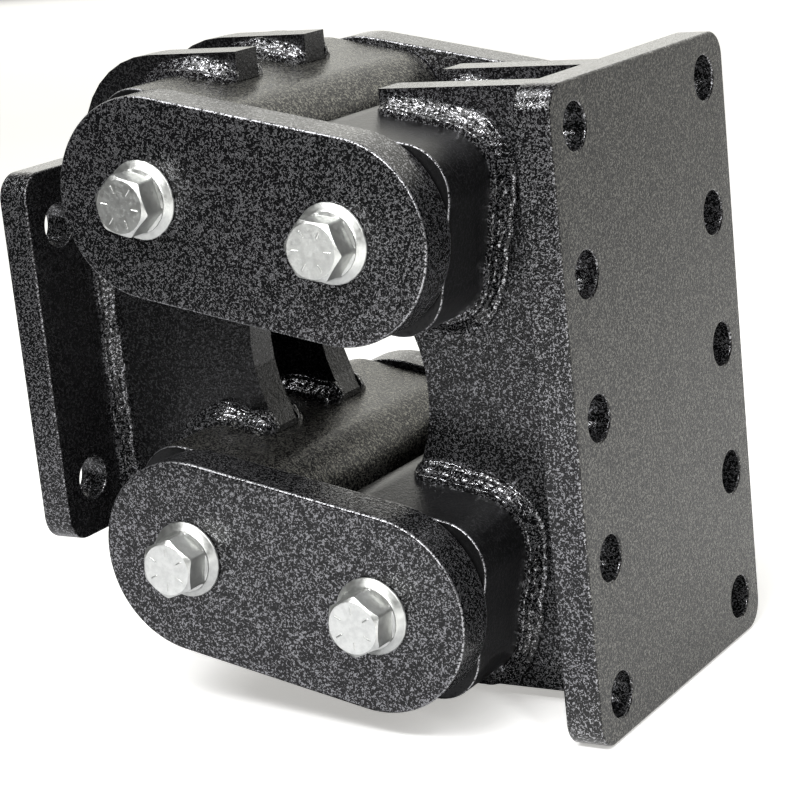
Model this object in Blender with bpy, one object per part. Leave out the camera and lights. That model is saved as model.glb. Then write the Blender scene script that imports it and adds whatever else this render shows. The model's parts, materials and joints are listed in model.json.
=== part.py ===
"""Rubber-torsion hitch suspension unit.

Two mounting plates, each with a pair of web plates that carry an upper and a lower torsion tube.
A square bar stands turned 45 degrees in each tube, between four rubber cords. Four link plates,
bolted to the ends of the bars, join the front tubes to the rear tubes, so that the rear unit moves
up and down parallel to the front one.

Frame: origin at the centre of the front plate's outer face, +X forward out of that face, +Z up,
right is -Y. Metres.
"""

import math

import bmesh
import bpy
from mathutils import Matrix

# Driving dimensions
GAP = 0.0003
FRONT_PLATE_THICKNESS = 0.0175
REAR_PLATE_THICKNESS = 0.0162
PLATE_WIDTH = 0.1778
PLATE_CORNER_RADIUS = 0.0127
FRONT_PLATE_HEIGHT = 0.2942
REAR_PLATE_HEIGHT = 0.1830
REAR_PLATE_OFFSET = 0.0010
HOLE_RADIUS = 0.01032
HOLE_COLUMN_SPACING = 0.13335
FRONT_HOLE_PITCH = 0.0635
FRONT_HOLE_ROWS = 5
REAR_HOLE_PITCH = 0.127
REAR_HOLE_ROWS = 2

PIVOT_STANDOFF = 0.083
PIVOT_SPACING = 0.1697
LINK_LENGTH = 0.1005
REST_ANGLE = math.radians(11.0)

WEB_THICKNESS = 0.0175
WEB_CENTRE_Y = 0.0298
WEB_HEIGHT = 0.2822
WEB_PAST_PIVOT = 0.0115
WEB_SCALLOP_RADIUS = 0.080
WEB_SCALLOP_DEPTH = 0.0105
REAR_WEB_CORNER_RADIUS = 0.044

TUBE_SIZE = 0.087
TUBE_CORNER_RADIUS = 0.023
TUBE_WALL = 0.008
TUBE_LENGTH = 0.1692

BAR_SIZE = 0.04445
BAR_CORNER_RADIUS = 0.003
CORD_RADIUS = 0.0104
CORD_OFFSET = 0.0332
CORD_LENGTH = 0.150

LINK_THICKNESS = 0.0221
LINK_INNER_Y = 0.0853
LINK_END_RADIUS = 0.0467
LINK_POCKET_DEPTH = 0.008

BOLT_RADIUS = 0.0079
BOLT_REACH = 0.050
BOLT_TIP_CHAMFER = 0.0015
HEAD_ACROSS_FLATS = 0.0256
HEAD_HEIGHT = 0.0178
HEAD_CHAMFER_HEIGHT = 0.0014
HEAD_CHAMFER_RADIUS = 0.0121
FLANGE_RADIUS = 0.0184
FLANGE_EDGE = 0.0018
FLANGE_TOP = 0.0050
FLANGE_TO_FLATS = 0.0006

WELD_LEG = 0.008
WELD_FULLNESS = 0.62
WELD_STEP = 0.005
PLATE_WELD_MARGIN = 0.004

# How far cutters run past the faces they cut, and threads past their bolts
CUTTER_OVERRUN = 0.005
THREAD_PAST_BOLT = 0.004

# Sides of the round shapes
HOLE_SIDES = 24
SHANK_HOLE_SIDES = 18
HEAD_SIDES = 18
CORD_SIDES = 12
SCALLOP_SIDES = 48
LINK_END_STEPS = 16
WEB_CORNER_STEPS = 8
CORNER_STEPS = 6
SMALL_CORNER_STEPS = 2
SMOOTH_ANGLE = math.radians(35)

# Turn of each hexagon about its axis, degrees, for bolts tightened to different stops
BOLT_TURNS = {
    "front_upper": -9.0,
    "rear_upper": -17.0,
    "front_lower": 24.0,
    "rear_lower": 21.0,
}

# Places worked out from them
REAR_RISE = LINK_LENGTH * math.sin(REST_ANGLE)
FRONT_PIVOT_X = -FRONT_PLATE_THICKNESS - PIVOT_STANDOFF
REAR_PIVOT_X = FRONT_PIVOT_X - LINK_LENGTH * math.cos(REST_ANGLE)
REAR_PLATE_INNER_X = REAR_PIVOT_X - PIVOT_STANDOFF
REAR_PLATE_CENTRE_Z = REAR_RISE + REAR_PLATE_OFFSET
UPPER_Z = PIVOT_SPACING / 2
LOWER_Z = -PIVOT_SPACING / 2
WEB_OUTER_Y = WEB_CENTRE_Y + WEB_THICKNESS / 2
LINK_OUTER_Y = LINK_INNER_Y + LINK_THICKNESS
SIDES = {"right": -1, "left": 1}
LEVELS = {"upper": UPPER_Z, "lower": LOWER_Z}

PIVOTS = {
    "front_upper": (FRONT_PIVOT_X, UPPER_Z),
    "front_lower": (FRONT_PIVOT_X, LOWER_Z),
    "rear_upper": (REAR_PIVOT_X, UPPER_Z + REAR_RISE),
    "rear_lower": (REAR_PIVOT_X, LOWER_Z + REAR_RISE),
}


def make_material(name, color, roughness, metallic):
    """A Principled material for a family of pieces."""
    material = bpy.data.materials.new(name)
    material.use_nodes = True
    shader = material.node_tree.nodes["Principled BSDF"]
    shader.inputs["Base Color"].default_value = (*color, 1.0)
    shader.inputs["Roughness"].default_value = roughness
    shader.inputs["Metallic"].default_value = metallic
    return material


def add_object(name, mesh, material=None):
    """A named object in the scene, with its material."""
    thing = bpy.data.objects.new(name, mesh)
    bpy.context.scene.collection.objects.link(thing)
    if material:
        thing.data.materials.append(material)
    return thing


def mesh_from(bm, name):
    """A finished mesh with outward faces, from a bmesh."""
    bmesh.ops.recalc_face_normals(bm, faces=bm.faces)
    mesh = bpy.data.meshes.new(name)
    bm.to_mesh(mesh)
    bm.free()
    mesh.shade_smooth()
    mesh.set_sharp_from_angle(angle=SMOOTH_ANGLE)
    return mesh


def arc(centre_u, centre_v, radius, start, end, steps):
    """Points on an arc from start to end, in degrees."""
    points = []
    for step in range(steps + 1):
        angle = math.radians(start + (end - start) * step / steps)
        points.append((centre_u + radius * math.cos(angle), centre_v + radius * math.sin(angle)))
    return points


def rounded_rectangle(half_u, half_v, radius, steps):
    """Outline of a rectangle with round corners, anticlockwise from its right side."""
    u = half_u - radius
    v = half_v - radius
    points = arc(u, v, radius, 0, 90, steps)
    points += arc(-u, v, radius, 90, 180, steps)
    points += arc(-u, -v, radius, 180, 270, steps)
    points += arc(u, -v, radius, 270, 360, steps)
    return points


def circle(centre_u, centre_v, radius, steps):
    """Outline of a circle."""
    return arc(centre_u, centre_v, radius, 0, 360, steps)[:-1]


def turned(points, degrees):
    """An outline turned about its origin."""
    cosine = math.cos(math.radians(degrees))
    sine = math.sin(math.radians(degrees))
    return [(u * cosine - v * sine, u * sine + v * cosine) for u, v in points]


def along_x(point, depth):
    return (depth, point[0], point[1])


def along_y(point, depth):
    return (point[0], depth, point[1])


def add_prism(bm, outline, place, low, high):
    """A closed prism of an outline, between two depths."""
    bottom = [bm.verts.new(place(point, low)) for point in outline]
    top = [bm.verts.new(place(point, high)) for point in outline]
    bm.faces.new(bottom)
    bm.faces.new(top)
    for i, corner in enumerate(bottom):
        j = (i + 1) % len(bottom)
        bm.faces.new((corner, bottom[j], top[j], top[i]))


def prism(name, outline, place, low, high, material=None):
    """An object that is one prism."""
    bm = bmesh.new()
    add_prism(bm, outline, place, low, high)
    return add_object(name, mesh_from(bm, name), material)


def loft(name, rings, material=None):
    """A closed solid through rings with equal numbers of points."""
    bm = bmesh.new()
    corners = [[bm.verts.new(point) for point in ring] for ring in rings]
    bm.faces.new(corners[0])
    bm.faces.new(corners[-1])
    for first, second in zip(corners, corners[1:]):
        for i, corner in enumerate(first):
            j = (i + 1) % len(first)
            bm.faces.new((corner, first[j], second[j], second[i]))
    return add_object(name, mesh_from(bm, name), material)


def cutter(name, outlines, place, spans):
    """A hidden set of prisms that another object is cut by."""
    bm = bmesh.new()
    for outline, (low, high) in zip(outlines, spans):
        add_prism(bm, outline, place, low, high)
    thing = add_object(name, mesh_from(bm, name))
    thing.hide_render = True
    thing.display_type = "WIRE"
    return thing


def cut(thing, tool):
    modifier = thing.modifiers.new(tool.name, "BOOLEAN")
    modifier.operation = "DIFFERENCE"
    modifier.solver = "EXACT"
    modifier.object = tool


def parented(thing, parent):
    """Hangs a piece, modelled in the part's frame, from its joint's empty."""
    thing.parent = parent
    thing.matrix_parent_inverse = Matrix.Translation(parent.location).inverted()


def pivot_empty(name, pivot):
    empty = bpy.data.objects.new(name, None)
    empty.location = (pivot[0], 0.0, pivot[1])
    bpy.context.scene.collection.objects.link(empty)
    return empty


def mounting_plate(name, inner_x, outer_x, height, rise, rows, pitch, material):
    """An upright plate with two columns of bolt holes."""
    outline = rounded_rectangle(PLATE_WIDTH / 2, height / 2, PLATE_CORNER_RADIUS, CORNER_STEPS)
    outline = [(y, z + rise) for y, z in outline]
    low = min(inner_x, outer_x)
    high = max(inner_x, outer_x)
    plate = prism(name, outline, along_x, low, high, material)
    holes = []
    for side in SIDES.values():
        for row in range(rows):
            z = rise + (row - (rows - 1) / 2) * pitch
            holes.append(circle(side * HOLE_COLUMN_SPACING / 2, z, HOLE_RADIUS, HOLE_SIDES))
    spans = [(low - CUTTER_OVERRUN, high + CUTTER_OVERRUN)] * len(holes)
    cut(plate, cutter(name + "_hole_cutter", holes, along_x, spans))
    return plate


def tube_outline(growth, steps):
    """Outside outline of a torsion tube, grown by a clearance, turned as the links stand."""
    half = TUBE_SIZE / 2 + growth
    outline = rounded_rectangle(half, half, TUBE_CORNER_RADIUS + growth, steps)
    return turned(outline, -math.degrees(REST_ANGLE))


def divided(outline, longest):
    """An outline with points added along its straight sides."""
    points = []
    for i, (u, v) in enumerate(outline):
        next_u, next_v = outline[(i + 1) % len(outline)]
        pieces = max(1, round(math.hypot(next_u - u, next_v - v) / longest))
        for k in range(pieces):
            points.append((u + (next_u - u) * k / pieces, v + (next_v - v) * k / pieces))
    return points


def web_outline(plate_x, free_x, rise, corner_radius):
    """Side view of a web before its notches: square ends, or round ones at the plate."""
    top = rise + WEB_HEIGHT / 2
    bottom = rise - WEB_HEIGHT / 2
    if not corner_radius:
        return [(plate_x, bottom), (plate_x, top), (free_x, top), (free_x, bottom)]
    inset = plate_x + corner_radius
    outline = [(free_x, bottom), (free_x, top)]
    outline += arc(inset, top - corner_radius, corner_radius, 90, 180, WEB_CORNER_STEPS)
    outline += arc(inset, bottom + corner_radius, corner_radius, 180, 270, WEB_CORNER_STEPS)
    return outline


def web(name, side, unit, material):
    """A web plate, notched for the two torsion tubes and scalloped between them."""
    facing = 1 if unit == "front" else -1
    pivot_x = PIVOTS[unit + "_upper"][0]
    rise = 0.0 if unit == "front" else REAR_RISE
    plate_x = pivot_x + facing * (PIVOT_STANDOFF - GAP)
    free_x = pivot_x - facing * WEB_PAST_PIVOT
    corner_radius = 0.0 if unit == "front" else REAR_WEB_CORNER_RADIUS
    centre = SIDES[side] * WEB_CENTRE_Y
    low = centre - WEB_THICKNESS / 2
    high = centre + WEB_THICKNESS / 2
    outline = web_outline(plate_x, free_x, rise, corner_radius)
    plate = prism(name, outline, along_y, low, high, material)
    scallop_x = free_x + facing * (WEB_SCALLOP_DEPTH - WEB_SCALLOP_RADIUS)
    span = (low - CUTTER_OVERRUN, high + CUTTER_OVERRUN)
    scallop = circle(scallop_x, rise, WEB_SCALLOP_RADIUS, SCALLOP_SIDES)
    cut(plate, cutter(name + "_scallop_cutter", [scallop], along_y, [span]))
    notches = []
    for level in LEVELS:
        x, z = PIVOTS[unit + "_" + level]
        notches.append([(x + u, z + v) for u, v in tube_outline(GAP, CORNER_STEPS)])
    cut(plate, cutter(name + "_tube_cutter", notches, along_y, [span] * len(notches)))
    return plate


def torsion_tube(name, pivot, material):
    """An open rounded-square tube across the unit."""
    x, z = pivot
    half = TUBE_SIZE / 2
    inner_half = half - TUBE_WALL
    outer = tube_outline(0.0, CORNER_STEPS)
    inner_corner = TUBE_CORNER_RADIUS - TUBE_WALL
    inner = rounded_rectangle(inner_half, inner_half, inner_corner, CORNER_STEPS)
    inner = turned(inner, -math.degrees(REST_ANGLE))
    bm = bmesh.new()
    rings = []
    for outline, y in (
        (outer, -TUBE_LENGTH / 2),
        (outer, TUBE_LENGTH / 2),
        (inner, TUBE_LENGTH / 2),
        (inner, -TUBE_LENGTH / 2),
    ):
        rings.append([bm.verts.new((x + u, y, z + v)) for u, v in outline])
    for k, ring in enumerate(rings):
        following = rings[(k + 1) % len(rings)]
        for i, corner in enumerate(ring):
            j = (i + 1) % len(ring)
            bm.faces.new((corner, ring[j], following[j], following[i]))
    return add_object(name, mesh_from(bm, name), material)


def torsion_bar(name, pivot, material):
    """The square bar inside a tube, its flats facing the tube's corners, drilled at both ends."""
    x, z = pivot
    half = BAR_SIZE / 2
    outline = rounded_rectangle(half, half, BAR_CORNER_RADIUS, SMALL_CORNER_STEPS)
    outline = turned(outline, 45 - math.degrees(REST_ANGLE))
    outline = [(x + u, z + v) for u, v in outline]
    reach = LINK_INNER_Y + LINK_POCKET_DEPTH - GAP
    bar = prism(name, outline, along_y, -reach, reach, material)
    hole = circle(x, z, BOLT_RADIUS + GAP, SHANK_HOLE_SIDES)
    depth = LINK_OUTER_Y - BOLT_REACH - THREAD_PAST_BOLT
    spans = [(-reach - CUTTER_OVERRUN, -depth), (depth, reach + CUTTER_OVERRUN)]
    cut(bar, cutter(name + "_thread_cutter", [hole, hole], along_y, spans))
    return bar


def rubber_cords(name, pivot, material):
    """Four rubber cords, one in each corner of a tube."""
    x, z = pivot
    cords = []
    for number in range(4):
        angle = math.radians(45 + 90 * number) - REST_ANGLE
        centre_x = x + CORD_OFFSET * math.cos(angle)
        centre_z = z + CORD_OFFSET * math.sin(angle)
        outline = circle(centre_x, centre_z, CORD_RADIUS, CORD_SIDES)
        half = CORD_LENGTH / 2
        cords.append(prism(f"{name}_{number + 1}", outline, along_y, -half, half, material))
    return cords


def link_plate(name, side, level, material):
    """A thick plate with round ends, pocketed for two bars and drilled for their bolts."""
    front = PIVOTS["front_" + level]
    rear = PIVOTS["rear_" + level]
    lean = math.degrees(REST_ANGLE)
    outline = arc(*front, LINK_END_RADIUS, -90 - lean, 90 - lean, LINK_END_STEPS)
    outline += arc(*rear, LINK_END_RADIUS, 90 - lean, 270 - lean, LINK_END_STEPS)
    inner = SIDES[side] * LINK_INNER_Y
    outer = SIDES[side] * LINK_OUTER_Y
    floor = SIDES[side] * (LINK_INNER_Y + LINK_POCKET_DEPTH)
    plate = prism(name, outline, along_y, min(inner, outer), max(inner, outer), material)
    half = BAR_SIZE / 2 + GAP
    pockets = []
    holes = []
    for x, z in (front, rear):
        pocket = rounded_rectangle(half, half, BAR_CORNER_RADIUS + GAP, SMALL_CORNER_STEPS)
        pocket = turned(pocket, 45 - lean)
        pockets.append([(x + u, z + v) for u, v in pocket])
        holes.append(circle(x, z, BOLT_RADIUS + GAP, SHANK_HOLE_SIDES))
    open_end = inner - SIDES[side] * CUTTER_OVERRUN
    far_end = outer + SIDES[side] * CUTTER_OVERRUN
    pocket_span = (min(open_end, floor), max(open_end, floor))
    hole_span = (min(open_end, far_end), max(open_end, far_end))
    cut(plate, cutter(name + "_pocket_cutter", pockets, along_y, [pocket_span] * 2))
    cut(plate, cutter(name + "_hole_cutter", holes, along_y, [hole_span] * 2))
    return plate


def hexagon_radius(angle):
    """Distance from the centre of the head to its side at an angle."""
    sector = math.radians(60)
    return HEAD_ACROSS_FLATS / 2 / math.cos((angle % sector) - sector / 2)


def flange_bolt(name, pivot, side, turn, material):
    """A hexagon flange bolt through a link plate into the end of a bar."""
    x, z = pivot
    outward = SIDES[side]
    tip = BOLT_RADIUS - BOLT_TIP_CHAMFER
    levels = (
        (-BOLT_REACH, tip, False),
        (-BOLT_REACH + BOLT_TIP_CHAMFER, BOLT_RADIUS, False),
        (GAP, BOLT_RADIUS, False),
        (GAP, FLANGE_RADIUS, False),
        (FLANGE_EDGE, FLANGE_RADIUS, False),
        (FLANGE_TOP, HEAD_ACROSS_FLATS / 2 / math.cos(math.radians(30)), False),
        (FLANGE_TOP + FLANGE_TO_FLATS, 0.0, True),
        (HEAD_HEIGHT - HEAD_CHAMFER_HEIGHT, 0.0, True),
        (HEAD_HEIGHT, HEAD_CHAMFER_RADIUS, False),
    )
    rings = []
    for height, radius, is_hexagon in levels:
        ring = []
        for i in range(HEAD_SIDES):
            angle = 2 * math.pi * i / HEAD_SIDES
            reach = hexagon_radius(angle) if is_hexagon else radius
            around = angle + math.radians(turn)
            y = outward * (LINK_OUTER_Y + height)
            ring.append((x + reach * math.cos(around), y, z + reach * math.sin(around)))
        rings.append(ring)
    return loft(name, rings, material)


def fillet_corners(leg):
    """Section of a fillet bead: two legs and a slightly full face."""
    middle = leg * WELD_FULLNESS
    return ((GAP, GAP), (leg, GAP), (middle, middle), (GAP, leg))


def plate_weld(name, side, unit, material):
    """A bead down the corner between a mounting plate and the outer face of a web."""
    if unit == "front":
        plate_x = -FRONT_PLATE_THICKNESS
        facing = -1
        half = WEB_HEIGHT / 2 - PLATE_WELD_MARGIN
        rise = 0.0
    else:
        plate_x = REAR_PLATE_INNER_X
        facing = 1
        half = REAR_PLATE_HEIGHT / 2 - PLATE_WELD_MARGIN
        rise = REAR_PLATE_CENTRE_Z
    rings = []
    for z in (rise - half, rise + half):
        ring = []
        for along_plate, along_web in fillet_corners(WELD_LEG):
            y = SIDES[side] * (WEB_OUTER_Y + along_plate)
            ring.append((plate_x + facing * along_web, y, z))
        rings.append(ring)
    return loft(name, rings, material)


def tube_weld(name, side, unit, level, material):
    """A bead around a tube on the outer face of a web, from one end of the notch to the other."""
    x, z = PIVOTS[unit + "_" + level]
    facing = 1 if unit == "front" else -1
    outline = divided(tube_outline(0.0, CORNER_STEPS), WELD_STEP)
    count = len(outline)
    kept = [i for i, point in enumerate(outline) if facing * point[0] > -WEB_PAST_PIVOT]
    start = next(i for i in kept if (i - 1) % count not in kept)
    path = [(start + step) % count for step in range(len(kept))]
    rings = []
    for i in path:
        before = outline[(i - 1) % count]
        after = outline[(i + 1) % count]
        along_u = after[0] - before[0]
        along_v = after[1] - before[1]
        length = math.hypot(along_u, along_v)
        normal = (along_v / length, -along_u / length)
        ring = []
        for outward, across in fillet_corners(WELD_LEG):
            u = outline[i][0] + normal[0] * outward
            v = outline[i][1] + normal[1] * outward
            ring.append((x + u, SIDES[side] * (WEB_OUTER_Y + across), z + v))
        rings.append(ring)
    return loft(name, rings, material)


def build():
    for thing in list(bpy.data.objects):
        bpy.data.objects.remove(thing, do_unlink=True)

    paint = make_material("textured_paint", (0.030, 0.030, 0.032), 0.35, 0.2)
    weld_paint = make_material("painted_weld", (0.035, 0.035, 0.036), 0.25, 0.2)
    bar_steel = make_material("bar_steel", (0.32, 0.32, 0.33), 0.4, 0.9)
    rubber = make_material("rubber", (0.020, 0.020, 0.020), 0.8, 0.0)
    zinc = make_material("bright_zinc", (0.80, 0.81, 0.80), 0.25, 1.0)

    upper_link = pivot_empty("upper_link_pivot", PIVOTS["front_upper"])
    lower_link = pivot_empty("lower_link_pivot", PIVOTS["front_lower"])
    rear_frame = pivot_empty("rear_frame_pivot", PIVOTS["rear_upper"])
    link_of = {"upper": upper_link, "lower": lower_link}

    mounting_plate("front_plate", -FRONT_PLATE_THICKNESS, 0.0, FRONT_PLATE_HEIGHT, 0.0,
                   FRONT_HOLE_ROWS, FRONT_HOLE_PITCH, paint)
    rear_outer_x = REAR_PLATE_INNER_X - REAR_PLATE_THICKNESS
    rear_plate = mounting_plate("rear_plate", REAR_PLATE_INNER_X, rear_outer_x, REAR_PLATE_HEIGHT,
                                REAR_PLATE_CENTRE_Z, REAR_HOLE_ROWS, REAR_HOLE_PITCH, paint)
    rear_pieces = [rear_plate]

    for side in SIDES:
        web(f"front_web_{side}", side, "front", paint)
        plate_weld(f"front_plate_weld_{side}", side, "front", weld_paint)
        rear_pieces.append(web(f"rear_web_{side}", side, "rear", paint))
        rear_pieces.append(plate_weld(f"rear_plate_weld_{side}", side, "rear", weld_paint))
        for level in LEVELS:
            name = f"front_{level}_tube_weld_{side}"
            tube_weld(name, side, "front", level, weld_paint)
            name = f"rear_{level}_tube_weld_{side}"
            rear_pieces.append(tube_weld(name, side, "rear", level, weld_paint))
            parented(link_plate(f"{level}_link_{side}", side, level, paint), link_of[level])

    for place, pivot in PIVOTS.items():
        unit, level = place.split("_")
        tube_pieces = [torsion_tube(f"{place}_tube", pivot, paint)]
        tube_pieces += rubber_cords(f"{place}_cord", pivot, rubber)
        if unit == "rear":
            rear_pieces += tube_pieces
        parented(torsion_bar(f"{place}_bar", pivot, bar_steel), link_of[level])
        for side in SIDES:
            name = f"{place}_bolt_{side}"
            bolt = flange_bolt(name, pivot, side, BOLT_TURNS[place], zinc)
            parented(bolt, link_of[level])

    for piece in rear_pieces:
        parented(piece, rear_frame)


build()
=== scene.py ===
import json
import math

import bmesh
import bpy
from mathutils import Matrix, Vector, noise

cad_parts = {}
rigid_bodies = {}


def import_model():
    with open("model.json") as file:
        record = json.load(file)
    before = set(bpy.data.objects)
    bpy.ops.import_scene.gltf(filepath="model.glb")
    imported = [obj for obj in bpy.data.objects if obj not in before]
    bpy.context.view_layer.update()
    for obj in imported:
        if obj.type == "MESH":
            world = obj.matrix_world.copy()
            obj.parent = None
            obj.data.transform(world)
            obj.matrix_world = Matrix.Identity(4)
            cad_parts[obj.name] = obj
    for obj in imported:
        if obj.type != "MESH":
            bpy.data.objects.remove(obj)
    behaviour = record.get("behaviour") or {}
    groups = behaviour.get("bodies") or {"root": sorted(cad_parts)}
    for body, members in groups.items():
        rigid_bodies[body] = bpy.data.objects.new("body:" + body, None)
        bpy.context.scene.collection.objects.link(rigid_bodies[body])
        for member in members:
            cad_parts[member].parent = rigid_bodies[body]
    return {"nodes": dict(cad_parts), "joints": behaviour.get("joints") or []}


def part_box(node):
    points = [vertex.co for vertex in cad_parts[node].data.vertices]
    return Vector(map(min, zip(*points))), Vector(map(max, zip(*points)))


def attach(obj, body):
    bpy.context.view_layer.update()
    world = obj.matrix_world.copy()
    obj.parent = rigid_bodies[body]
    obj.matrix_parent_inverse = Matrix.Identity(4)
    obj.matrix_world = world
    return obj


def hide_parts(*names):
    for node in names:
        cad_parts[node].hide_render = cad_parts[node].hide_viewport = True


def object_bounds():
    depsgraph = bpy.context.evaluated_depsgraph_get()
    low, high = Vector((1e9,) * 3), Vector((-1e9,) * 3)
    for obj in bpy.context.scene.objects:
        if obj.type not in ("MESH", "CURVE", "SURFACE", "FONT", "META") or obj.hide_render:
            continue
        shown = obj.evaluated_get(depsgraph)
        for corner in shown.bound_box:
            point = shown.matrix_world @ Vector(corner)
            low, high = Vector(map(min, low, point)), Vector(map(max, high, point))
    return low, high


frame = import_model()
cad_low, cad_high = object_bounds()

# Sizes that the frame doesn't state, metres
HOLE_RADIUS = 0.01032
HOLE_COLUMN = 0.066675
FRONT_HOLE_ROWS = 5
FRONT_HOLE_PITCH = 0.0635
REAR_HOLE_ROWS = 2
REAR_HOLE_PITCH = 0.127
PLATE_CORNER = 0.0127
WEB_PAST_PIVOT = 0.0115
TUBE_SIZE = 0.087
TUBE_CORNER = 0.023
TUBE_WALL = 0.008
LINK_RADIUS = 0.0467

# Points closer than this are one
MERGE_DISTANCE = 0.00001

# Radii of rounded edges
PLATE_EDGE = 0.0011
LINK_EDGE = 0.0012
TUBE_EDGE = 0.0010
WEB_EDGE = 0.0009

# Bolts. The head's flat top is a little lower than in the CAD, as the raised marks stand on it.
SHANK_RADIUS = 0.0079
SHANK_LENGTH = 0.050
SHANK_CHAMFER = 0.0015
FLANGE_RADIUS = 0.0183
FLANGE_RIM = 0.0008
FLANGE_RIM_HEIGHT = 0.0011
FLANGE_RIM_HALF = 0.0009
HEAD_GAP = 0.0002
HEAD_FLATS = 0.0256
HEAD_TOP = 0.01745
HEAD_ROUNDING = 34
TOP_RADIUS = 0.0121
TOP_SLOPE = math.tan(math.radians(30))
# The flange's slope: height over its seat, distance in from its rim
FLANGE_SLOPE = ((0.0031, 0.0025), (0.0041, 0.0035), (0.0048, 0.00355))
# The hexagon's foot: height over the seat, distance out from the flats
HEXAGON_FOOT = ((0.0052, 0.0003), (0.0060, 0.0))
# The soft edge under the hexagon's cone: distance below the cone, distance in from the flats
CONE_EDGE = ((0.0003, 0.0), (0.0001, 0.0002))
# The flat top: distance below it, radius
TOP_RINGS = (
    (0.00005, TOP_RADIUS + 0.0001),
    (0.0, TOP_RADIUS - 0.0002),
    (0.0, TOP_RADIUS * 0.5),
    (0.0, TOP_RADIUS * 0.1),
)
# Steps around a sixth of the head, in degrees, closest at the corners
HEAD_SECTOR = (0, 1.5, 3, 5, 9, 16, 30, 44, 51, 55, 57, 58.5)
# How far each place's bolts are turned, in degrees
BOLT_TURNS = {"front_upper": -9, "rear_upper": -17, "front_lower": 24, "rear_lower": 21}

# Raised marks on the heads: distance from the axis, half width, share of the full height
MARK_SECTIONS = (
    (0.0064, 0.0002, 0.4),
    (0.0068, 0.0005, 1.0),
    (0.0099, 0.0005, 1.0),
    (0.0103, 0.0002, 0.4),
)
# The ridge across a mark: share of the half width, height
MARK_RIDGE = ((-1, -0.0002), (-0.55, 0.0002), (0, 0.00035), (0.55, 0.0002), (1, -0.0002))
MARKS = 6
MARK_TURN = 6

# Welds
TUBE_WELD_LEG = 0.0090
PLATE_WELD_LEG = 0.0080
PLATE_WELD_MARGIN = 0.003
WELD_STEP = 0.0008
WELD_POINTS = 18
WELD_ROOT = 0.0008
WELD_TOE_DEPTH = 0.0004
# At its ends a bead starts at this share of its size and grows over this many legs
WELD_END = 0.45
WELD_END_RUN = 0.7
# Heights on a bead, as shares of its leg
BULGE_HEIGHT = 0.12
LIP_HEIGHT = 0.15
RIPPLE_HEIGHT = 0.03
GRAIN_HEIGHT = 0.06
# Where the raised toes are across a bead, and how wide
LIP_SPOT = 0.16
LIP_WIDTH = 0.09
# How much a bead varies, and over what length
LEG_WAVER = 0.30
FIRST_LEG_WAVE = 0.012
SECOND_LEG_WAVE = 0.015
LIP_WAVER = 0.5
LIP_WAVE = 0.008
RIPPLE_PITCH = 0.0042
RIPPLE_WAVER = 0.8
RIPPLE_WAVE = 0.010
RIPPLE_CURVE = 0.8
RIPPLE_SHARPNESS = 0.8
GRAIN_WAVE = 0.0032
DIAGONAL = 0.7071

# Steps in round outlines and edges
EDGE_STEPS = 2
HOLE_STEPS = 48
PLATE_CORNER_STEPS = 12
LINK_END_STEPS = 40
TUBE_OUTER_STEPS = 14
TUBE_INNER_STEPS = 10
TUBE_WELD_STEPS = 24

# A face whose normal has more than FLAT along an axis lies across it, and one between ROUND and
# FLAT is on a rounded edge
FLAT = 0.95
ROUND = 0.15
HEAD_FLAT = 0.97

# Edges sharper than these stay sharp, in degrees
SHARP = 40
HEAD_SHARP = 22
WELD_SHARP = 70
NORMAL_WEIGHT = 100

# Materials: sizes of the paint's and the zinc's patterns, and colours
VEIN = 0.00102
VEIN_BLUR = 0.14
VEIN_ROUGHER = 0.09
VEIN_METALLIC = 0.9
PAINT_BLACK = (0.003, 0.003, 0.0033)
ZINC_MOTTLE = 0.0035
ZINC_SMEAR = 0.0018
ZINC_GRAIN = 0.0009
ZINC_DULL = (0.62, 0.63, 0.61)
ZINC_BRIGHT = (0.75, 0.76, 0.735)
ZINC_LIMIT = 0.98
WHITE = (1.0, 1.0, 1.0)
WARM = (1.0, 0.99, 0.93)

# Table, and the cards on it that only reflections see, which paint shade and a shadow into the
# unit's reflections: radius, centre, height over the unit's lowest point
FLOOR_RADIUS = 12.0
FLOOR_GAP = 0.0005
FLOOR_GLOW = (1.0, 0.985, 0.95, 1.0)
FLOOR_GLOW_STRENGTH = 0.43
DISC_STEPS = 96
CARD_BESIDE = (8.0, (-8.06, -3.30), 0.001)
PAINTED_SHADOW_CARD_BELOW = (0.125, (-0.16, 0.0), 0.0015)
CARD_IN_SHADE = (0.35, (-0.35, -0.30), 0.0005)

# Lights: place, target, width, height, radiance, colour
LIGHTS = {
    "overhead": ((0.5, 0.7, 1.7), (0.5, 0.7, 0.0), 2.4, 2.4, 0.28, WARM),
    "backdrop": ((-1.0, 3.8, 1.65), (-0.15, 0.0, 0.5), 9.0, 3.3, 1.4, WARM),
    "strip": ((-0.15, -1.2, 1.10), (-0.15, 0.0, 0.0), 1.6, 0.20, 24.0, WHITE),
    "crest_light": ((-0.35, -0.45, 1.45), (-0.15, -0.1, 0.05), 1.6, 0.5, 7.0, WHITE),
    "edge_light": ((1.24, -1.14, 1.08), (-0.1, -0.1, 0.05), 0.2, 1.1, 22.0, WHITE),
}
ROOM_GLOW = 0.04

# Camera
CAMERA_PLACE = (0.47034, -0.97916, 0.27386)
CAMERA_RIGHT = (0.85547, 0.50799, -0.10061)
CAMERA_UP = (-0.04081, 0.25980, 0.96480)
CAMERA_LENS = 110.555
CAMERA_SENSOR = 36.0
CAMERA_NEAR = 0.01

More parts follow.
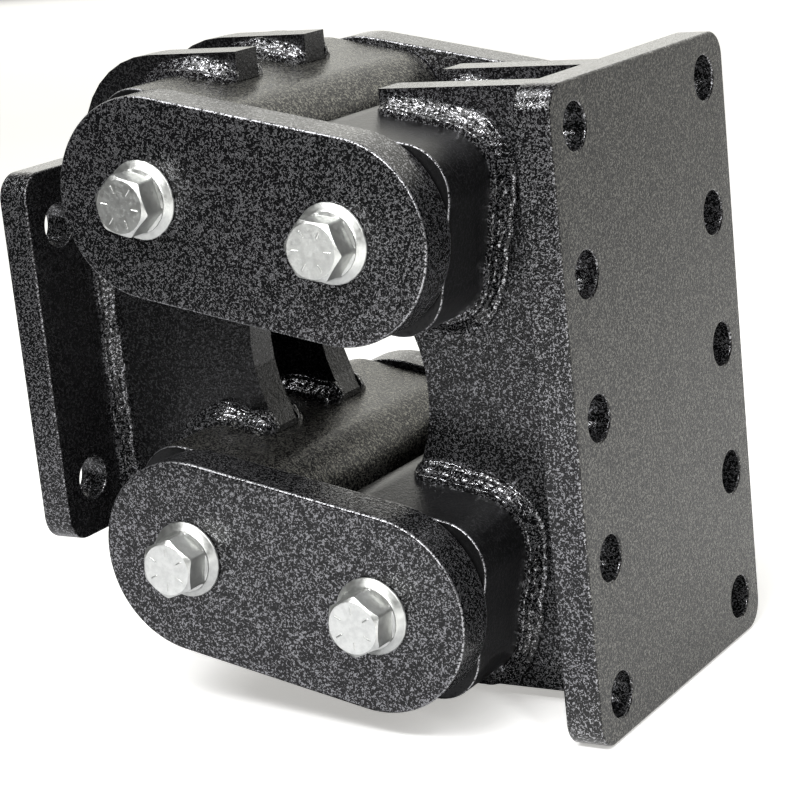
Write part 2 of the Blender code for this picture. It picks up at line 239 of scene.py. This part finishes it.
# Places read from the frame
joint_at = {joint["name"]: Vector(joint["pos_m"]) for joint in frame["joints"]}
PIVOTS = {
    "front_upper": joint_at["upper_link_pivot"],
    "front_lower": joint_at["lower_link_pivot"],
    "rear_upper": joint_at["rear_frame_pivot"],
}
PIVOTS["rear_lower"] = PIVOTS["rear_upper"] + PIVOTS["front_lower"] - PIVOTS["front_upper"]
LINK_RUN = PIVOTS["rear_upper"] - PIVOTS["front_upper"]
LEAN = math.atan2(LINK_RUN.z, -LINK_RUN.x)
SIDES = {"right": -1, "left": 1}
LEVELS = ("upper", "lower")
FRAME_OF = {"front": "front_frame", "rear": "rear_frame"}
FRONT_LOW, FRONT_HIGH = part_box("front_plate")
REAR_LOW, REAR_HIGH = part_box("rear_plate")
LINK_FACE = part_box("upper_link_left")[1].y


# Outlines and meshes

def arc(u, v, radius, start, end, steps):
    """Points on an arc, in degrees."""
    angles = [math.radians(start + (end - start) * i / steps) for i in range(steps + 1)]
    return [(u + radius * math.cos(a), v + radius * math.sin(a)) for a in angles]


def rounded_rectangle(half_u, half_v, radius, steps):
    """A rectangle with round corners, anticlockwise from its right side."""
    u, v = half_u - radius, half_v - radius
    corners = ((u, v, 0), (-u, v, 90), (-u, -v, 180), (u, -v, 270))
    return [p for cu, cv, start in corners for p in arc(cu, cv, radius, start, start + 90, steps)]


def turned(points, angle):
    """An outline turned about its origin, in radians."""
    cosine, sine = math.cos(angle), math.sin(angle)
    return [(u * cosine - v * sine, u * sine + v * cosine) for u, v in points]


def moved(points, u, v):
    return [(a + u, b + v) for a, b in points]


def finished(name, mesh, body, material, replaced, angle=SHARP, weighted=True):
    """Puts a mesh in the scene as a piece that rides on a body."""
    mesh.name = name
    mesh.shade_smooth()
    mesh.set_sharp_from_angle(angle=math.radians(angle))
    piece = bpy.data.objects.new(name, mesh)
    bpy.context.scene.collection.objects.link(piece)
    mesh.materials.clear()
    mesh.materials.append(material)
    if weighted:
        normals = piece.modifiers.new("flat_faces_stay_flat", "WEIGHTED_NORMAL")
        normals.keep_sharp = True
        normals.weight = NORMAL_WEIGHT
    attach(piece, body)
    if replaced:
        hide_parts(*replaced)
    return piece


def slab(outlines, low, high, axis, edge):
    """A flat plate between two depths on an axis, with rounded edges and holes."""
    curve = bpy.data.curves.new("slab", "CURVE")
    curve.dimensions = "2D"
    curve.fill_mode = "BOTH"
    curve.bevel_depth = edge
    curve.bevel_resolution = EDGE_STEPS
    curve.offset = -edge
    curve.extrude = (high - low) / 2 - edge
    for outline in outlines:
        spline = curve.splines.new("POLY")
        spline.points.add(len(outline) - 1)
        spline.use_cyclic_u = True
        for point, (u, v) in zip(spline.points, outline):
            point.co = (u, v, 0, 1)
    holder = bpy.data.objects.new("slab", curve)
    bpy.context.scene.collection.objects.link(holder)
    depsgraph = bpy.context.evaluated_depsgraph_get()
    mesh = bpy.data.meshes.new_from_object(holder.evaluated_get(depsgraph))
    bpy.data.objects.remove(holder)
    bpy.data.curves.remove(curve)
    middle = (low + high) / 2
    if axis == "x":
        place = Matrix(((0, 0, 1, middle), (1, 0, 0, 0), (0, 1, 0, 0), (0, 0, 0, 1)))
    else:
        place = Matrix(((1, 0, 0, 0), (0, 0, -1, middle), (0, 1, 0, 0), (0, 0, 0, 1)))
    mesh.transform(place)
    bm = bmesh.new()
    bm.from_mesh(mesh)
    bmesh.ops.remove_doubles(bm, verts=bm.verts, dist=MERGE_DISTANCE)
    bmesh.ops.recalc_face_normals(bm, faces=bm.faces)
    bm.to_mesh(mesh)
    bm.free()
    return mesh


def skin(*solids):
    """A mesh of closed solids, each one a list of rings of equally many points."""
    bm = bmesh.new()
    for rings in solids:
        rows = [[bm.verts.new(point) for point in ring] for ring in rings]
        bm.faces.new(rows[0])
        bm.faces.new(rows[-1])
        for first, second in zip(rows, rows[1:]):
            for i, corner in enumerate(first):
                j = (i + 1) % len(first)
                bm.faces.new((corner, first[j], second[j], second[i]))
    bmesh.ops.recalc_face_normals(bm, faces=bm.faces)
    mesh = bpy.data.meshes.new("skin")
    bm.to_mesh(mesh)
    bm.free()
    return mesh


def paint_faces(mesh, material, chosen):
    """Gives a second material to the faces whose normals are chosen."""
    mesh.materials.append(material)
    index = len(mesh.materials) - 1
    for face in mesh.polygons:
        if chosen(face.normal):
            face.material_index = index


def on_side_edge(normal):
    """Whether a face is on the rounded edge between a side and the rim."""
    return ROUND < abs(normal.y) < FLAT


# Materials

class Graph:
    """Short names for building a material's nodes."""

    def __init__(self, name):
        self.material = bpy.data.materials.new(name)
        self.material.use_nodes = True
        self.tree = self.material.node_tree
        self.shader = self.tree.nodes["Principled BSDF"]
        self.place = self.node("ShaderNodeTexCoord").outputs["Object"]

    def node(self, kind, **settings):
        made = self.tree.nodes.new(kind)
        for key, value in settings.items():
            setattr(made, key, value)
        return made

    def link(self, source, target):
        self.tree.links.new(source, target)

    def noise(self, size, detail=2.0, roughness=0.5, distortion=0.0):
        made = self.node("ShaderNodeTexNoise")
        made.inputs["Scale"].default_value = 1.0 / size
        made.inputs["Detail"].default_value = detail
        made.inputs["Roughness"].default_value = roughness
        made.inputs["Distortion"].default_value = distortion
        self.link(self.place, made.inputs["Vector"])
        return made.outputs["Fac"]

    def math(self, operation, first, second):
        made = self.node("ShaderNodeMath", operation=operation)
        for socket, value in zip(made.inputs, (first, second)):
            if isinstance(value, (int, float)):
                socket.default_value = value
            else:
                self.link(value, socket)
        return made.outputs[0]

    def ramp(self, value, low, high, start=0.0, end=1.0):
        made = self.node("ShaderNodeMapRange", interpolation_type="SMOOTHSTEP")
        self.link(value, made.inputs["Value"])
        for key, number in (("From Min", low), ("From Max", high), ("To Min", start), ("To Max", end)):
            made.inputs[key].default_value = number
        return made.outputs["Result"]

    def mix(self, factor, first, second):
        made = self.node("ShaderNodeMix", data_type="RGBA")
        self.link(factor, made.inputs["Factor"])
        for socket, value in ((made.inputs["A"], first), (made.inputs["B"], second)):
            if isinstance(value, tuple):
                socket.default_value = (*value, 1.0)
            else:
                self.link(value, socket)
        return made.outputs["Result"]

    def bump(self, height, depth):
        made = self.node("ShaderNodeBump")
        made.inputs["Strength"].default_value = 1.0
        made.inputs["Distance"].default_value = depth
        self.link(height, made.inputs["Height"])
        self.link(made.outputs["Normal"], self.shader.inputs["Normal"])

    def set(self, **values):
        for key, value in values.items():
            self.shader.inputs[key.replace("_", " ")].default_value = value


def hammertone(name, depth=0.00011, silver=0.29, roughness=0.16, bare=0.545,
               tint=(1.0, 1.0, 1.04), ior=1.40):
    """Glossy black powder coat with short silver veins in a hammered surface."""
    g = Graph(name)
    labyrinth = g.noise(VEIN, 0.0, 0.5, 1.1)
    thinning = g.ramp(g.noise(VEIN * 6, 1.0), 0.3, 0.7, -0.02, 0.02)
    level = g.math("ADD", labyrinth, thinning)
    flecks = g.ramp(level, bare, bare + VEIN_BLUR)
    colour = g.mix(flecks, PAINT_BLACK, tuple(silver * c for c in tint))
    g.link(colour, g.shader.inputs["Base Color"])
    g.link(g.math("MULTIPLY", flecks, VEIN_METALLIC), g.shader.inputs["Metallic"])
    gloss = g.ramp(flecks, 0.0, 1.0, roughness, roughness + VEIN_ROUGHER)
    g.link(gloss, g.shader.inputs["Roughness"])
    peel = g.noise(VEIN * 2.5, 1.0)
    g.bump(g.math("ADD", level, peel), depth)
    g.set(IOR=ior)
    return g.material


def zinc(name, tone, roughness=0.28, depth=0.00003):
    """Bright zinc plate, a little milky, with fine forging marks."""
    g = Graph(name)
    dull = tuple(min(ZINC_LIMIT, tone * c) for c in ZINC_DULL)
    bright = tuple(min(ZINC_LIMIT, tone * c) for c in ZINC_BRIGHT)
    mottle = g.ramp(g.noise(ZINC_MOTTLE, 4.0, 0.6), 0.3, 0.7)
    g.link(g.mix(mottle, dull, bright), g.shader.inputs["Base Color"])
    smear = g.ramp(g.noise(ZINC_SMEAR, 3.0), 0.3, 0.7, roughness, roughness + 0.12)
    g.link(smear, g.shader.inputs["Roughness"])
    g.bump(g.noise(ZINC_GRAIN, 2.0, 0.5), depth)
    g.set(Metallic=0.95)
    return g.material


def plain_steel(name):
    """Rolled bar with patches of scale."""
    g = Graph(name)
    scale = g.ramp(g.noise(0.003, 4.0), 0.35, 0.65)
    g.link(g.mix(scale, (0.20, 0.20, 0.21), (0.42, 0.42, 0.43)), g.shader.inputs["Base Color"])
    g.bump(g.noise(0.0008, 3.0), 0.0001)
    g.set(Metallic=1.0, Roughness=0.42)
    return g.material


def moulded_rubber(name):
    """Dull black rubber, a little dusty."""
    g = Graph(name)
    dust = g.ramp(g.noise(0.004, 4.0), 0.4, 0.7)
    colour = g.mix(dust, (0.012, 0.012, 0.012), (0.035, 0.035, 0.034))
    g.link(colour, g.shader.inputs["Base Color"])
    g.bump(g.noise(0.0007, 3.0), 0.00015)
    g.set(Roughness=0.75)
    return g.material


PAINT = hammertone("black_vein_paint")
# A darker, warmer copy of the paint for the plates' outer faces: painted shade, and a warm tint that
# is painted warm light
PLATE_PAINT_PAINTED_SHADE = hammertone("painted_shade_black_vein_paint_on_plate", silver=0.12, bare=0.50,
                         tint=(1.02, 1.0, 0.92), ior=1.30)
# Copies of the paint for each unit's tubes: the front one darker, with fewer silver veins, as painted
# shade; the rear one with a warm tint, as painted warm light
TUBE_PAINT_LIT_AND_SHADED = {
    "front": hammertone("painted_shade_black_vein_paint_on_front_tubes", depth=0.00009, silver=0.08,
                        roughness=0.28),
    "rear": hammertone("warm_painted_light_black_vein_paint_on_rear_tubes", silver=0.24, roughness=0.26, bare=0.51,
                       tint=(1.02, 1.0, 0.90)),
}
# A near-black copy of the paint, almost without veins, for the tubes' end faces: painted shade in the
# gap behind the links
TUBE_END_PAINTED_SHADE = hammertone("painted_shade_on_tube_ends", depth=0.00004, silver=0.02, roughness=0.35)
# A darker copy of the paint, with fewer silver veins, for the faces inside the unit and the rear webs:
# painted shade
SHADED_PAINT = hammertone("painted_shade_black_vein_paint_inside", silver=0.09, roughness=0.20)
WELD_PAINT = hammertone("black_paint_on_weld", depth=0.00012, silver=0.40, roughness=0.12)
# A brighter copy of the paint, with more and smoother silver veins, for the rounded edges of links and
# tubes: a painted highlight line
EDGE_PAINTED_HIGHLIGHT = hammertone("painted_highlight_on_edges", depth=0.00002, silver=0.36, roughness=0.24,
                        bare=0.38)
ZINC = zinc("bright_zinc", 1.12)
MILKY_ZINC = zinc("milky_zinc", 1.14, 0.42)
# A darker copy of the zinc for the bolts' sides: painted shade
ZINC_SIDES_PAINTED_SHADE = zinc("painted_shade_zinc_sides", 0.82, 0.30, 0.00001)
STEEL = plain_steel("bar_steel")
RUBBER = moulded_rubber("rubber")


# Plates

def mounting_plate(name, low, high, rows, pitch, body, inward):
    """A drilled plate. inward is the way its welded face looks along X."""
    middle = (low.z + high.z) / 2
    outline = rounded_rectangle(high.y, (high.z - low.z) / 2, PLATE_CORNER, PLATE_CORNER_STEPS)
    outlines = [moved(outline, 0, middle)]
    for side in SIDES.values():
        for row in range(rows):
            z = middle + (row - (rows - 1) / 2) * pitch
            outlines.append(arc(side * HOLE_COLUMN, z, HOLE_RADIUS, 0, 360, HOLE_STEPS)[:-1])
    mesh = slab(outlines, low.x, high.x, "x", PLATE_EDGE)
    finished(name + "_skin", mesh, body, PAINT, [name])
    # The inner face gets the darker copy of the paint: painted shade
    paint_faces(mesh, SHADED_PAINT, lambda normal: normal.x * inward > FLAT)
    # The outer face gets the darker, warmer copy of the paint: painted shade and painted warm light
    paint_faces(mesh, PLATE_PAINT_PAINTED_SHADE, lambda normal: normal.x * inward < -FLAT)


def web_shape(unit, side):
    """The web's CAD solid is already cut to shape: it gets soft edges and paint."""
    node = frame["nodes"][f"{unit}_web_{side}"]
    node.data.materials.clear()
    # The rear webs get the darker copy of the paint: painted shade
    node.data.materials.append(PAINT if unit == "front" else SHADED_PAINT)
    edge = node.modifiers.new("soft_edges", "BEVEL")
    edge.width = WEB_EDGE
    edge.segments = EDGE_STEPS
    edge.limit_method = "ANGLE"
    edge.angle_limit = math.radians(SHARP)
    edge.harden_normals = True


def link_plate(level, side):
    """A bar with round ends between two pivots."""
    name = f"{level}_link_{side}"
    front, rear = PIVOTS["front_" + level], PIVOTS["rear_" + level]
    lean = math.degrees(LEAN)
    outline = arc(front.x, front.z, LINK_RADIUS, -90 - lean, 90 - lean, LINK_END_STEPS)
    outline += arc(rear.x, rear.z, LINK_RADIUS, 90 - lean, 270 - lean, LINK_END_STEPS)
    low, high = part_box(name)
    mesh = slab([outline], low.y, high.y, "y", LINK_EDGE)
    finished(name + "_skin", mesh, level + "_link", PAINT, [name])
    # The rounded edges get the brighter copy: a painted highlight line
    paint_faces(mesh, EDGE_PAINTED_HIGHLIGHT, on_side_edge)


def tube_outline(inset, steps):
    """The square tube's outline about its axis, leaning with the links."""
    half = TUBE_SIZE / 2 - inset
    return turned(rounded_rectangle(half, half, TUBE_CORNER - inset, steps), -LEAN)


def torsion_tube(place):
    """An open square tube around a pivot."""
    name = place + "_tube"
    pivot = PIVOTS[place]
    low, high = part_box(name)
    outer = moved(tube_outline(0.0, TUBE_OUTER_STEPS), pivot.x, pivot.z)
    inner = moved(tube_outline(TUBE_WALL, TUBE_INNER_STEPS), pivot.x, pivot.z)
    mesh = slab([outer, inner], low.y, high.y, "y", TUBE_EDGE)
    unit = place.split("_")[0]
    # The tube gets its unit's copy of the paint, with painted shade at the front and painted warm
    # light at the rear
    finished(name + "_skin", mesh, FRAME_OF[unit], TUBE_PAINT_LIT_AND_SHADED[unit], [name])
    # The end faces get the near-black copy: painted shade in the gap at the links
    paint_faces(mesh, TUBE_END_PAINTED_SHADE, lambda normal: abs(normal.y) > FLAT)
    # The rounded edges get the brighter copy: a painted highlight line
    paint_faces(mesh, EDGE_PAINTED_HIGHLIGHT, on_side_edge)


# Bolts

def hexagon_reach(angle):
    """Distance from the axis to a hexagon with slightly rounded corners, one corner at angle 0."""
    total = sum(abs(math.cos(angle - math.radians(side))) ** HEAD_ROUNDING for side in (30, 90, 150))
    return HEAD_FLATS / 2 / total ** (1 / HEAD_ROUNDING)


def hexagon(growth):
    """The hexagon's reach, grown by a distance."""
    return lambda angle: hexagon_reach(angle) + growth


def cone(drop):
    """Height of the cone that cuts the hexagon's corners, less a distance."""
    return lambda angle: HEAD_TOP - drop - (hexagon_reach(angle) - TOP_RADIUS) * TOP_SLOPE


def bolt_levels():
    """Height over the seat and reach from the axis of every ring, numbers or functions of angle."""
    levels = [
        (-SHANK_LENGTH, SHANK_RADIUS - SHANK_CHAMFER),
        (SHANK_CHAMFER - SHANK_LENGTH, SHANK_RADIUS),
        (HEAD_GAP, SHANK_RADIUS),
        (HEAD_GAP, FLANGE_RADIUS - FLANGE_RIM),
    ]
    for degrees in range(15, 166, 15):
        angle = math.radians(degrees)
        levels.append((FLANGE_RIM_HEIGHT - FLANGE_RIM_HALF * math.cos(angle),
                       FLANGE_RADIUS - FLANGE_RIM * (1 - math.sin(angle))))
    levels += [(height, FLANGE_RADIUS - inset) for height, inset in FLANGE_SLOPE]
    levels += [(height, hexagon(growth)) for height, growth in HEXAGON_FOOT]
    levels += [(cone(drop), hexagon(-inset)) for drop, inset in CONE_EDGE]
    levels += [(HEAD_TOP - drop, radius) for drop, radius in TOP_RINGS]
    return levels


def flange_bolt(place, side):
    """Hexagon flange bolt: turned flange, hexagon with a coned top, six raised grade marks."""
    name = f"{place}_bolt_{side}"
    outward = SIDES[side]
    pivot = PIVOTS[place]
    turn = math.radians(BOLT_TURNS[place])
    angles = [math.radians(60 * k + step) for k in range(6) for step in HEAD_SECTOR]

    def spot(angle, radius, height):
        around = angle + turn
        return Vector((pivot.x + radius * math.cos(around), outward * (LINK_FACE + height),
                       pivot.z + radius * math.sin(around)))

    def ring(height, reach):
        return [spot(angle, reach(angle) if callable(reach) else reach,
                     height(angle) if callable(height) else height) for angle in angles]

    solids = [[ring(height, reach) for height, reach in bolt_levels()]]
    for mark in range(MARKS):
        angle = math.radians(360 / MARKS * mark + MARK_TURN)
        along = spot(angle, 1, 0) - spot(angle, 0, 0)
        across = along.cross(Vector((0, 1, 0)))
        rows = []
        for distance, width, rise in MARK_SECTIONS:
            centre = spot(angle, distance, HEAD_TOP)
            rows.append([centre + across * width * share + Vector((0, outward * up * rise, 0))
                         for share, up in MARK_RIDGE])
        solids.append(rows)
    mesh = skin(*solids)
    level = place.split("_")[1]
    finished(name + "_detailed", mesh, level + "_link",
             MILKY_ZINC if place == "front_upper" else ZINC, [name], angle=HEAD_SHARP)
    # Faces that don't look along the axis get the darker zinc: painted shade
    paint_faces(mesh, ZINC_SIDES_PAINTED_SHADE, lambda normal: abs(normal.y) < HEAD_FLAT)


# Welds

def wobble(seed, at, size):
    """Smooth noise along a path, one pattern for each seed."""
    return noise.noise(Vector((at / size, seed * 7.31, seed * 1.7)))


def bead(name, path, leg, seed, body, replaced):
    """A hand-laid bead along a corner, with raised toes and a rippled crown.

    path holds (point, first, second): the corner, and the two directions that run out along the
    surfaces that meet there.
    """
    rings = []
    travelled = 0.0
    total = sum((b[0] - a[0]).length for a, b in zip(path, path[1:]))
    for i, (point, first, second) in enumerate(path):
        if i:
            travelled += (point - path[i - 1][0]).length
        to_end = min(1.0, min(travelled, total - travelled) / (leg * WELD_END_RUN))
        size = leg * min(1.0, WELD_END + (1 - WELD_END) * math.sin(to_end * math.pi / 2))
        leg_first = size * (1 + LEG_WAVER * wobble(seed, travelled, FIRST_LEG_WAVE))
        leg_second = size * (1 + LEG_WAVER * wobble(seed + 5, travelled, SECOND_LEG_WAVE))
        lips = [1 + LIP_WAVER * wobble(seed + 11 + end, travelled, LIP_WAVE) for end in (0, 1)]
        ring = []
        for k in range(WELD_POINTS + 1):
            share = k / WELD_POINTS
            bulge = math.sin(share * math.pi)
            wave = travelled / RIPPLE_PITCH + RIPPLE_CURVE * bulge
            wave += RIPPLE_WAVER * wobble(seed + 9, travelled, RIPPLE_WAVE)
            crest = abs(math.sin(wave * math.pi)) ** RIPPLE_SHARPNESS
            lip = sum(size_of_lip * math.exp(-((share - spot) / LIP_WIDTH) ** 2)
                      for size_of_lip, spot in zip(lips, (LIP_SPOT, 1 - LIP_SPOT)))
            lift = BULGE_HEIGHT * bulge + LIP_HEIGHT * lip + RIPPLE_HEIGHT * crest * bulge
            lift += GRAIN_HEIGHT * wobble(seed + 2 + share * 4, travelled, GRAIN_WAVE) * bulge
            a = leg_first * (1 - share) + size * lift * DIAGONAL
            b = leg_second * share + size * lift * DIAGONAL
            if k == 0:
                b = -WELD_TOE_DEPTH
            if k == WELD_POINTS:
                a = -WELD_TOE_DEPTH
            ring.append(point + first * a + second * b)
        ring.append(point - first * WELD_ROOT - second * WELD_ROOT)
        for corner in ring:
            corner.z = min(corner.z, cad_high.z)
        rings.append(ring)
    finished(name, skin(rings), body, WELD_PAINT, replaced, angle=WELD_SHARP,
             weighted=False)


def web_faces(unit, side):
    """A web's two faces: a name, the place across the unit, and which way is out."""
    low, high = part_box(f"{unit}_web_{side}")
    if side == "left":
        return ("outer", high.y, 1), ("inner", low.y, -1)
    return ("outer", low.y, -1), ("inner", high.y, 1)


def resampled(points, step):
    """Points at even spacing along a polyline."""
    made = [points[0]]
    carry = 0.0
    for a, b in zip(points, points[1:]):
        length = (b - a).length
        at = step - carry
        while at <= length:
            made.append(a.lerp(b, at / length))
            at += step
        carry = (carry + length) % step
    return made


def tube_welds(place):
    """Beads where a tube passes through the two webs, as far around as the webs reach."""
    unit = place.split("_")[0]
    pivot = PIVOTS[place]
    facing = 1 if unit == "front" else -1
    points = [Vector((u, 0, v)) for u, v in tube_outline(0.0, TUBE_WELD_STEPS)]
    dense = resampled(points + points[:1], WELD_STEP)
    kept = [facing * p.x > -WEB_PAST_PIVOT for p in dense]
    start = next(i for i, inside in enumerate(kept) if inside and not kept[i - 1])
    count = sum(kept)
    ordered = [dense[(start + i) % len(dense)] for i in range(count)]
    for side in SIDES:
        for face, y, out in web_faces(unit, side):
            path = []
            for i, p in enumerate(ordered):
                before = ordered[max(0, i - 2)]
                after = ordered[min(count - 1, i + 2)]
                tangent = (after - before).normalized()
                normal = Vector((tangent.z, 0, -tangent.x))
                if normal.dot(p) < 0:
                    normal = -normal
                point = Vector((pivot.x + p.x, y, pivot.z + p.z))
                path.append((point, normal, Vector((0, out, 0))))
            seed = len(bpy.data.objects)  # a new one for every bead
            replaced = [f"{place}_tube_weld_{side}"] if face == "outer" else []
            bead(f"{place}_bead_{side}_{face}", path, TUBE_WELD_LEG, seed, FRAME_OF[unit], replaced)


def plate_welds(unit):
    """Upright beads where the two webs meet the mounting plate."""
    low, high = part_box(unit + "_plate")
    facing = -1 if unit == "front" else 1
    x = low.x if unit == "front" else high.x
    for side in SIDES:
        web_low, web_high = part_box(f"{unit}_web_{side}")
        bottom = max(low.z, web_low.z) + PLATE_WELD_MARGIN
        top = min(high.z, web_high.z) - PLATE_WELD_MARGIN
        steps = int((top - bottom) / WELD_STEP)
        for face, y, out in web_faces(unit, side):
            path = []
            for i in range(steps + 1):
                z = bottom + (top - bottom) * i / steps
                path.append((Vector((x, y, z)), Vector((0, out, 0)), Vector((facing, 0, 0))))
            seed = len(bpy.data.objects)  # a new one for every bead
            replaced = [f"{unit}_plate_weld_{side}"] if face == "outer" else []
            bead(f"{unit}_plate_bead_{side}_{face}", path, PLATE_WELD_LEG, seed, FRAME_OF[unit],
                 replaced)


# The whole unit

mounting_plate("front_plate", FRONT_LOW, FRONT_HIGH, FRONT_HOLE_ROWS, FRONT_HOLE_PITCH,
               "front_frame", -1)
mounting_plate("rear_plate", REAR_LOW, REAR_HIGH, REAR_HOLE_ROWS, REAR_HOLE_PITCH,
               "rear_frame", 1)
for unit in FRAME_OF:
    plate_welds(unit)
    for side in SIDES:
        web_shape(unit, side)
for level in LEVELS:
    for side in SIDES:
        link_plate(level, side)
for place in PIVOTS:
    torsion_tube(place)
    tube_welds(place)
    for side in SIDES:
        flange_bolt(place, side)
for name, node in frame["nodes"].items():
    if name.endswith("_bar") or "_cord_" in name:
        node.data.materials.clear()
        node.data.materials.append(STEEL if name.endswith("_bar") else RUBBER)


# Floor, light and camera

def disc(name, radius, centre, height, material):
    """A flat round sheet at a height over the lowest point of the unit."""
    bm = bmesh.new()
    bmesh.ops.create_circle(bm, cap_ends=True, segments=DISC_STEPS, radius=radius)
    mesh = bpy.data.meshes.new(name)
    bm.to_mesh(mesh)
    bm.free()
    mesh.transform(Matrix.Translation((*centre, cad_low.z + height)))
    mesh.materials.append(material)
    thing = bpy.data.objects.new(name, mesh)
    bpy.context.scene.collection.objects.link(thing)
    return thing


def floor():
    """A softly glowing white table."""
    g = Graph("pale_floor")
    g.link(g.mix(g.ramp(g.noise(0.3, 2.0), 0.3, 0.7), (0.90, 0.90, 0.90), (0.93, 0.93, 0.93)),
           g.shader.inputs["Base Color"])
    g.set(Roughness=0.8, Emission_Color=FLOOR_GLOW, Emission_Strength=FLOOR_GLOW_STRENGTH)
    disc("floor", FLOOR_RADIUS, (0.0, 0.0), -FLOOR_GAP, g.material)


def card_material(name, dark, light):
    """Matt card."""
    g = Graph(name)
    g.link(g.mix(g.noise(0.1), dark, light), g.shader.inputs["Base Color"])
    g.set(Roughness=0.9)
    return g.material


def dark_cards():
    """Cards that only reflections see, painted shade in the reflections: a black one beside the table,
    a black one for the shadow under the unit, and a grey one for the unit's own shade.
    """
    black = card_material("black_card", (0.02, 0.02, 0.02), (0.03, 0.03, 0.03))
    beside = disc("card_beside", *CARD_BESIDE, black)
    below = disc("painted_shadow_card_below", *PAINTED_SHADOW_CARD_BELOW, black)
    grey = card_material("grey_card", (0.62, 0.62, 0.64), (0.68, 0.68, 0.70))
    shade = disc("card_in_shade", *CARD_IN_SHADE, grey)
    for card in (beside, below, shade):
        card.visible_camera = False
        card.visible_diffuse = False
        card.visible_shadow = False


def softbox(name, place, target, width, height, radiance, tint):
    """A soft light whose surface has the given brightness."""
    light = bpy.data.lights.new(name, "AREA")
    light.shape = "RECTANGLE"
    light.size = width
    light.size_y = height
    light.energy = radiance * math.pi * width * height
    light.color = tint
    thing = bpy.data.objects.new(name, light)
    thing.location = place
    thing.rotation_euler = (Vector(target) - Vector(place)).to_track_quat("-Z", "Y").to_euler()
    thing.visible_camera = False
    bpy.context.scene.collection.objects.link(thing)


def studio():
    """White behind everything that the camera sees, and a dark room for the paint to reflect."""
    world = bpy.data.worlds.new("studio")
    bpy.context.scene.world = world
    world.use_nodes = True
    tree = world.node_tree
    ray = tree.nodes.new("ShaderNodeLightPath")
    strength = tree.nodes.new("ShaderNodeMapRange")
    strength.inputs["To Min"].default_value = ROOM_GLOW
    strength.inputs["To Max"].default_value = 1.0
    tree.links.new(ray.outputs["Is Camera Ray"], strength.inputs["Value"])
    background = tree.nodes["Background"]
    background.inputs["Color"].default_value = (*WHITE, 1.0)
    tree.links.new(strength.outputs["Result"], background.inputs["Strength"])
    for name, settings in LIGHTS.items():
        softbox(name, *settings)
    bpy.context.scene.view_settings.view_transform = "Standard"


def camera():
    """The photograph's camera."""
    data = bpy.data.cameras.new("camera")
    data.lens = CAMERA_LENS
    data.sensor_width = CAMERA_SENSOR
    data.clip_start = CAMERA_NEAR
    thing = bpy.data.objects.new("camera", data)
    right = Vector(CAMERA_RIGHT)
    up = Vector(CAMERA_UP)
    back = right.cross(up)
    turn = Matrix((right, up, back)).transposed().to_4x4()
    thing.matrix_world = Matrix.Translation(CAMERA_PLACE) @ turn
    bpy.context.scene.collection.objects.link(thing)
    bpy.context.scene.camera = thing


floor()
dark_cards()
studio()
camera()
